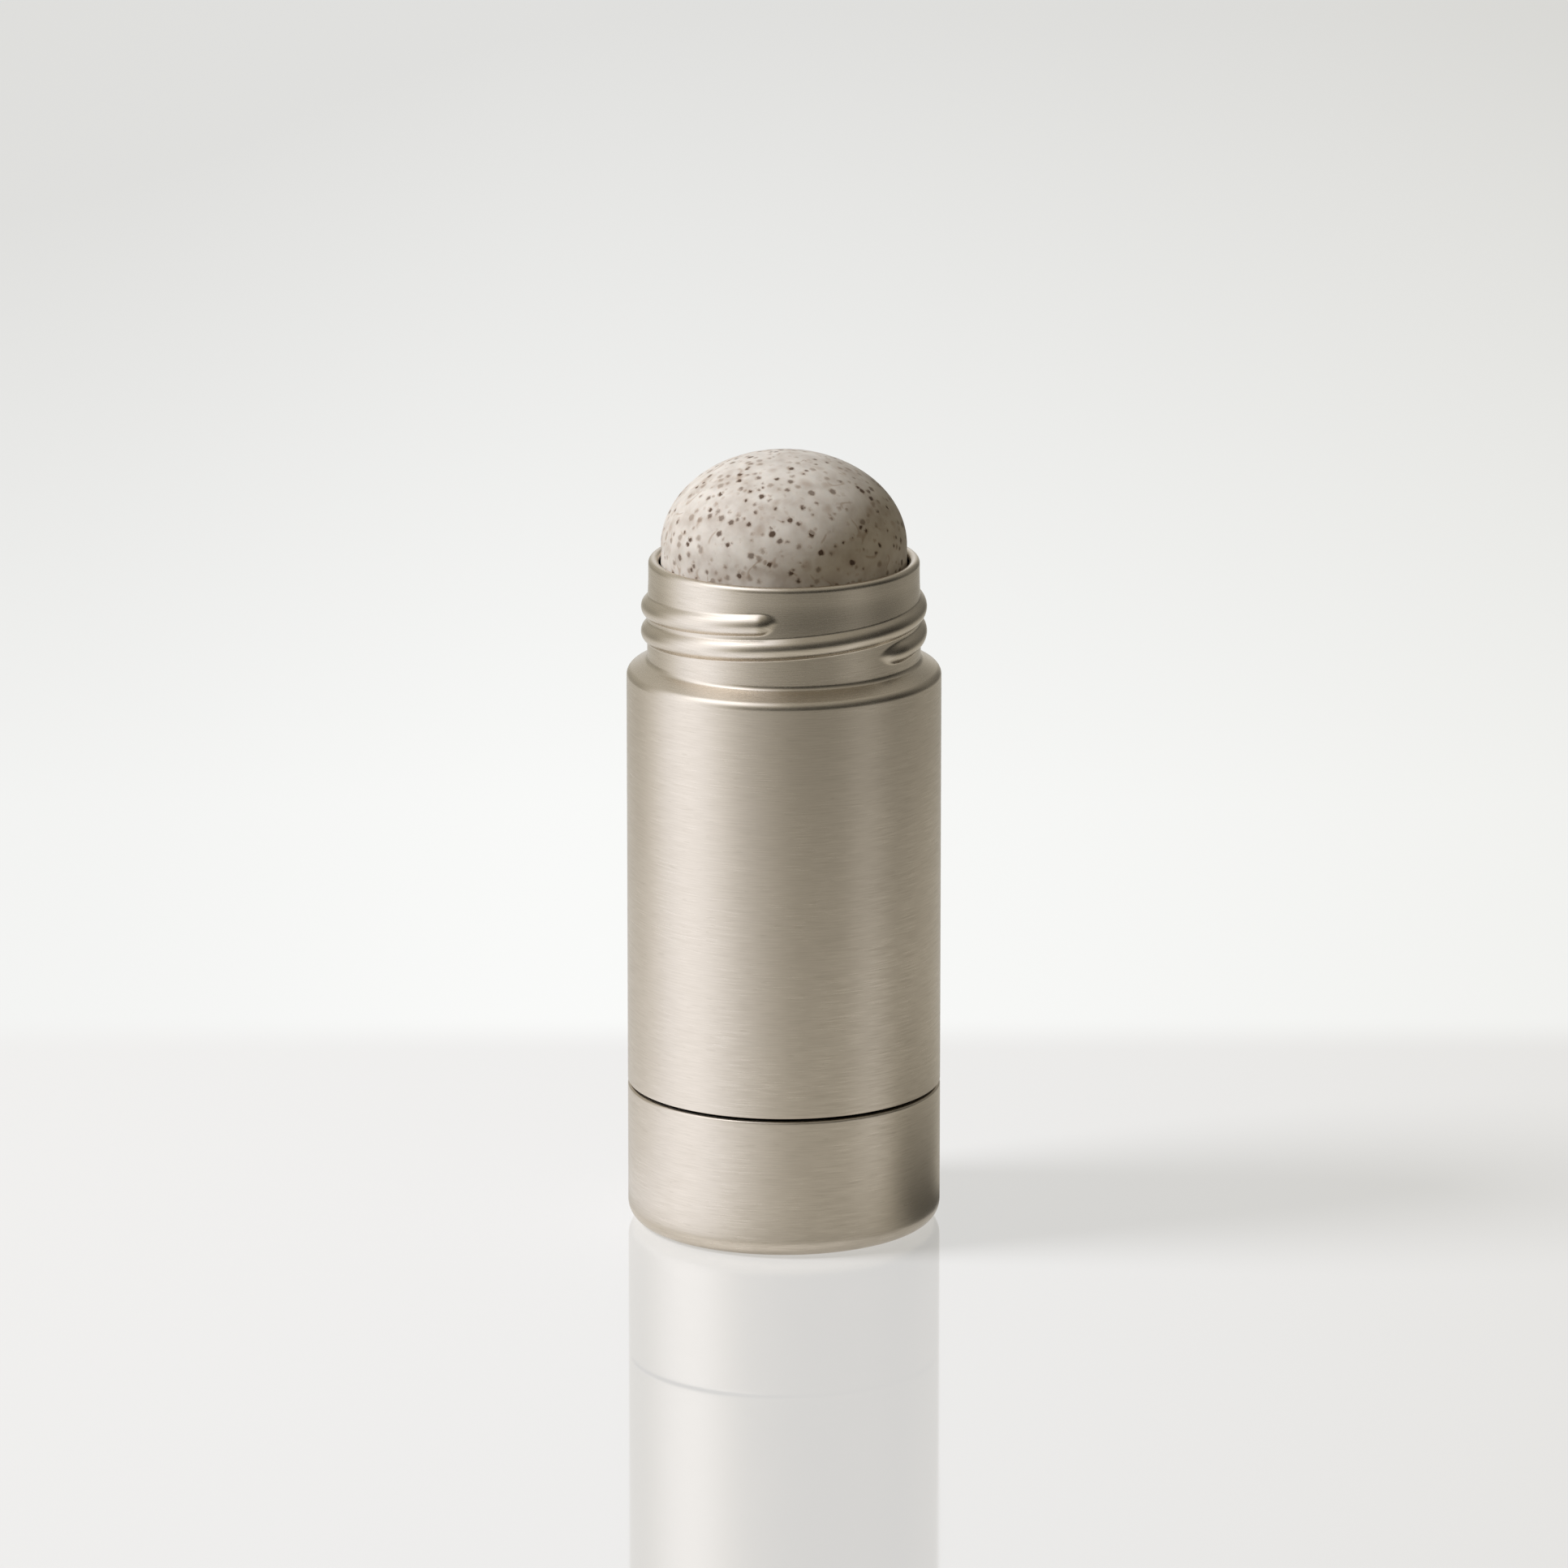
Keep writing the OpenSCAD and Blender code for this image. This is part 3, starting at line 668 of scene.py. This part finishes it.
def card_greys(turn):
    """Greys by level and direction: each card fades as a raised cosine from its middle to its edge."""
    total = 0
    for middle, half, greys in SOFT_CARDS.values():
        off = np.abs((turn - middle + 180) % 360 - 180)
        total = total + np.array(greys)[:, None] * (0.5 + 0.5 * np.cos(np.pi * np.clip(off / half, 0, 1)))
    return total


def floor_shade(turn, across):
    """Share of a floor card's grey that is left, by direction and distance from the axis.

    The stick's shadow lies on its right, and weakens and ends with distance. A narrow contact shade
    lies all round its foot.
    """
    leaving = smooth_step(across, 25 * MM, 60 * MM)
    off = np.abs(turn - SHADOW_TURN - SHADOW_SWING * leaving)
    beside = 1 - smooth_step(off, SHADOW_CORE, SHADOW_WHOLE)
    near = 1 - smooth_step(across, 40 * MM, 130 * MM)
    shadow = (SHADOW_NEAR - (SHADOW_NEAR - SHADOW_FAR) * leaving) * beside * near
    contact = CONTACT * (1 - smooth_step(across, 20 * MM, 25 * MM))
    return (1 - shadow) * (1 - contact)


def grey_card():
    """A card that shines with the colours of its mesh on its front and is clear on its back."""
    material, tree = new_material("grey_card")
    tone = add(tree, "ShaderNodeAttribute", attribute_name="tone").outputs["Color"]
    glow = add(tree, "ShaderNodeEmission", {"Color": tone, "Strength": 1.0}).outputs[0]
    clear = add(tree, "ShaderNodeBsdfTransparent").outputs[0]
    behind = add(tree, "ShaderNodeNewGeometry").outputs["Backfacing"]
    card = add(tree, "ShaderNodeMixShader", {0: behind, 1: glow, 2: clear}).outputs[0]
    add(tree, "ShaderNodeOutputMaterial", {"Surface": card})
    material.cycles.emission_sampling = "NONE"
    return material


def studio_cards(columns=180, rows=24, reach=2.5):
    """A dome of grey cards and a ring of them on the floor: what the metal sees of the room.

    The ring starts just outside the stick and blends with distance from the greys at its foot to those
    of the horizon. The dome runs straight from one of the CARD_HEIGHTS to the next. Dim cards are warm
    and bright ones slightly cool. The colours are kept in a vertex attribute.
    """
    turn = np.linspace(-180, 180, columns, endpoint=False)[None, :]
    across = np.geomspace(21 * MM, reach, rows)[::-1, None]
    rise = np.linspace(0, 88, rows)[:, None]
    foot, *levels = card_greys(turn[0])
    away = smooth_step(across, 80 * MM, 600 * MM)
    ring = (foot + away * (levels[0] - foot)) * floor_shade(turn, across)
    dome = np.column_stack([np.interp(rise[:, 0], CARD_HEIGHTS, greys) for greys in np.array(levels).T])
    grey = np.vstack([ring, dome])[..., None]
    bright = np.clip((grey - DIM_GREY) / (BRIGHT_GREY - DIM_GREY), 0, 1)
    colours = grey * (np.array(DIM_TINT) + bright * (np.array(BRIGHT_TINT) - np.array(DIM_TINT)))

    radius = np.vstack([across, reach * np.cos(np.radians(rise))])
    height = np.vstack([0 * across, reach * np.sin(np.radians(rise))]) + 0.4 * MM
    a = np.radians(turn)
    points = np.stack([radius * np.sin(a), -radius * np.cos(a), height + 0 * a], axis=-1).reshape(-1, 3)
    i = np.arange(2 * rows * columns).reshape(-1, columns)
    quads = np.stack([i[:-1], np.roll(i[:-1], -1, 1), np.roll(i[1:], -1, 1), i[1:]], axis=-1)
    quads = np.concatenate([quads[:rows - 1], quads[rows:, :, ::-1]]).reshape(-1, 4)
    mesh = bpy.data.meshes.new("studio_cards")
    mesh.from_pydata(points, [], quads.tolist())
    tones = np.column_stack([colours.reshape(-1, 3), np.ones(grey.size)])
    mesh.color_attributes.new("tone", "FLOAT_COLOR", "POINT").data.foreach_set("color", tones.ravel())
    mesh.materials.append(grey_card())
    return mesh


def round_sheet(radius, corners=128):
    """A flat round sheet on the floor's plane."""
    turn = 2 * np.pi * np.arange(corners) / corners
    rim = np.column_stack([np.cos(turn), np.sin(turn), np.zeros(corners)]) * radius
    mesh = bpy.data.meshes.new("floor")
    mesh.from_pydata(rim, [], [tuple(range(corners))])
    return mesh


def aim(made, height, turn, rise, away):
    """Places a lamp or a camera and turns it to face a point on the axis.

    turn is its direction right of the main view and rise its direction above the floor, in radians.
    """
    out = Vector((math.sin(turn) * math.cos(rise), -math.cos(turn) * math.cos(rise), math.sin(rise)))
    made.location = Vector((0, 0, height)) + out * away
    made.rotation_euler = (-out).to_track_quat("-Z", "Y").to_euler()
    bpy.context.scene.collection.objects.link(made)


class MESH_OT_stick_case(bpy.types.Operator):
    """Make the brushed aluminium sleeve and base cup"""

    bl_idname = "mesh.stick_case"
    bl_label = "Aluminium Case"

    def execute(self, context):
        case, thread = context.scene.stick_case, context.scene.stick_thread
        metal = brushed_aluminium(context.scene.stick_finishes)
        sleeve = revolve("threaded_sleeve", *sleeve_grid(case, thread))
        place("threaded_sleeve", sleeve, metal, "case", ["sleeve"])
        outline = cup_outline(case)
        columns = np.zeros((1, 320))
        cup = revolve("turning_base", outline[:, :1] + columns, outline[:, 1:] + columns, poles=True)
        place("turning_base", cup, metal, "dial", ["base_cup"])
        return {"FINISHED"}


class MESH_OT_stick_balm(bpy.types.Operator):
    """Make the domed, speckled balm"""

    bl_idname = "mesh.stick_balm"
    bl_label = "Speckled Balm"

    def execute(self, context):
        balm = context.scene.stick_balm
        solid = revolve("speckled_dome", *balm_grid(balm), poles=True)
        half, spare = balm.slot_width / 2, 1 * MM
        low = (balm.bore - spare, -half, balm.foot - spare)
        high = (balm.slot_length, half, balm.foot + balm.slot_height)
        mesh = carve(solid, [(low, high, turn * math.pi / 2) for turn in range(4)])
        balm_material = speckled_balm(context.scene.stick_finishes)
        place("speckled_dome", mesh, balm_material, "lift", ["exfoliating_stick"])
        return {"FINISHED"}


class OBJECT_OT_stick_mouldings(bpy.types.Operator):
    """Give the inner mouldings their plastics"""

    bl_idname = "object.stick_mouldings"
    bl_label = "Inner Mouldings"

    def execute(self, context):
        finish = context.scene.stick_finishes
        # The dark plastic is partly painted shade: seen through the seam between sleeve and cup, it makes
        # the gap look shaded.
        dark = moulded_polypropylene("dark_polypropylene_seam_shade", finish.dark_plastic_seam_shade, 0.5)
        white = moulded_polypropylene("white_moulded_polypropylene", finish.white_plastic, 0.38)
        plastics = {"inner_tube": dark, "dial_core": dark, "spindle": white, "carrier": white}
        for node, plastic in plastics.items():
            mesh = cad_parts[node].data
            mesh.materials.clear()
            mesh.materials.append(plastic)
        return {"FINISHED"}


class SCENE_OT_stick_stage(bpy.types.Operator):
    """Set up the floor, the cards, the lamp, the room and the camera"""

    bl_idname = "scene.stick_stage"
    bl_label = "Studio"

    def execute(self, context):
        scene, stage = context.scene, context.scene.stick_stage
        scene.view_settings.view_transform = "Standard"
        floor = bpy.data.objects.new("floor", round_sheet(stage.floor_radius))
        floor.data.materials.append(polished_floor(stage))
        cards = bpy.data.objects.new("studio_cards", studio_cards())
        cards.visible_camera = cards.visible_diffuse = cards.visible_shadow = False
        for made in (floor, cards):
            scene.collection.objects.link(made)
        self.hang_lamp(stage)
        self.light_room(scene, stage)
        self.aim_camera(scene, stage)
        return {"FINISHED"}

    def hang_lamp(self, stage):
        """A round softbox on the left, which gloss doesn't see."""
        light = bpy.data.lights.new("key_softbox", "AREA")
        light.shape, light.energy = "ELLIPSE", stage.key_power
        light.size = light.size_y = stage.key_size
        made = bpy.data.objects.new("key_softbox", light)
        made.visible_glossy = False
        aim(made, stage.key_aim, stage.key_turn, stage.key_rise, stage.key_away)

    def light_room(self, scene, stage):
        """An even warm room, which the camera, metal and glass see as a pale backdrop."""
        scene.world = bpy.data.worlds.new("room")
        scene.world.use_nodes = True
        tree = scene.world.node_tree
        tree.nodes.clear()
        light = add(tree, "ShaderNodeBackground", {0: stage.ambient_tone, 1: stage.ambient}).outputs[0]
        backdrop = add(tree, "ShaderNodeBackground", {0: stage.backdrop, 1: 1.0}).outputs[0]
        both = add(tree, "ShaderNodeMixShader", {0: seen_ray(tree), 1: light, 2: backdrop}).outputs[0]
        add(tree, "ShaderNodeOutputWorld", {"Surface": both})

    def aim_camera(self, scene, stage):
        """A long lens before the stick, looking down on it."""
        view = bpy.data.cameras.new("camera")
        view.lens, view.sensor_width = stage.lens, 36.0
        view.clip_start, view.clip_end = 0.05, 30.0
        camera = bpy.data.objects.new("camera", view)
        aim(camera, stage.view_aim, 0.0, stage.view_tilt, stage.view_away)
        scene.camera = camera


class VIEW3D_PT_exfoliating_stick(bpy.types.Panel):
    """Lists the operators in the order in which they run"""

    bl_label = "Exfoliating Stick"
    bl_space_type = "VIEW_3D"
    bl_region_type = "UI"
    bl_category = "Stick"

    def draw(self, context):
        for operator in OPERATORS:
            self.layout.operator(operator.bl_idname)


GROUPS = {"stick_case": StickCaseSizes, "stick_thread": StickThreadSizes, "stick_balm": StickBalmSizes,
          "stick_finishes": StickFinishes, "stick_stage": StickStageSettings}
OPERATORS = (MESH_OT_stick_case, MESH_OT_stick_balm, OBJECT_OT_stick_mouldings, SCENE_OT_stick_stage)
CLASSES = (*GROUPS.values(), *OPERATORS, VIEW3D_PT_exfoliating_stick)


def register():
    """Registers the classes and gives the scene its settings."""
    for made in CLASSES:
        bpy.utils.register_class(made)
    for name, group in GROUPS.items():
        setattr(bpy.types.Scene, name, PointerProperty(type=group))


def unregister():
    """Takes the settings and the classes out again."""
    for name in GROUPS:
        delattr(bpy.types.Scene, name)
    for made in reversed(CLASSES):
        bpy.utils.unregister_class(made)


def main():
    register()
    bpy.ops.mesh.stick_case()
    bpy.ops.mesh.stick_balm()
    bpy.ops.object.stick_mouldings()
    bpy.ops.scene.stick_stage()


if __name__ == "__main__":
    main()
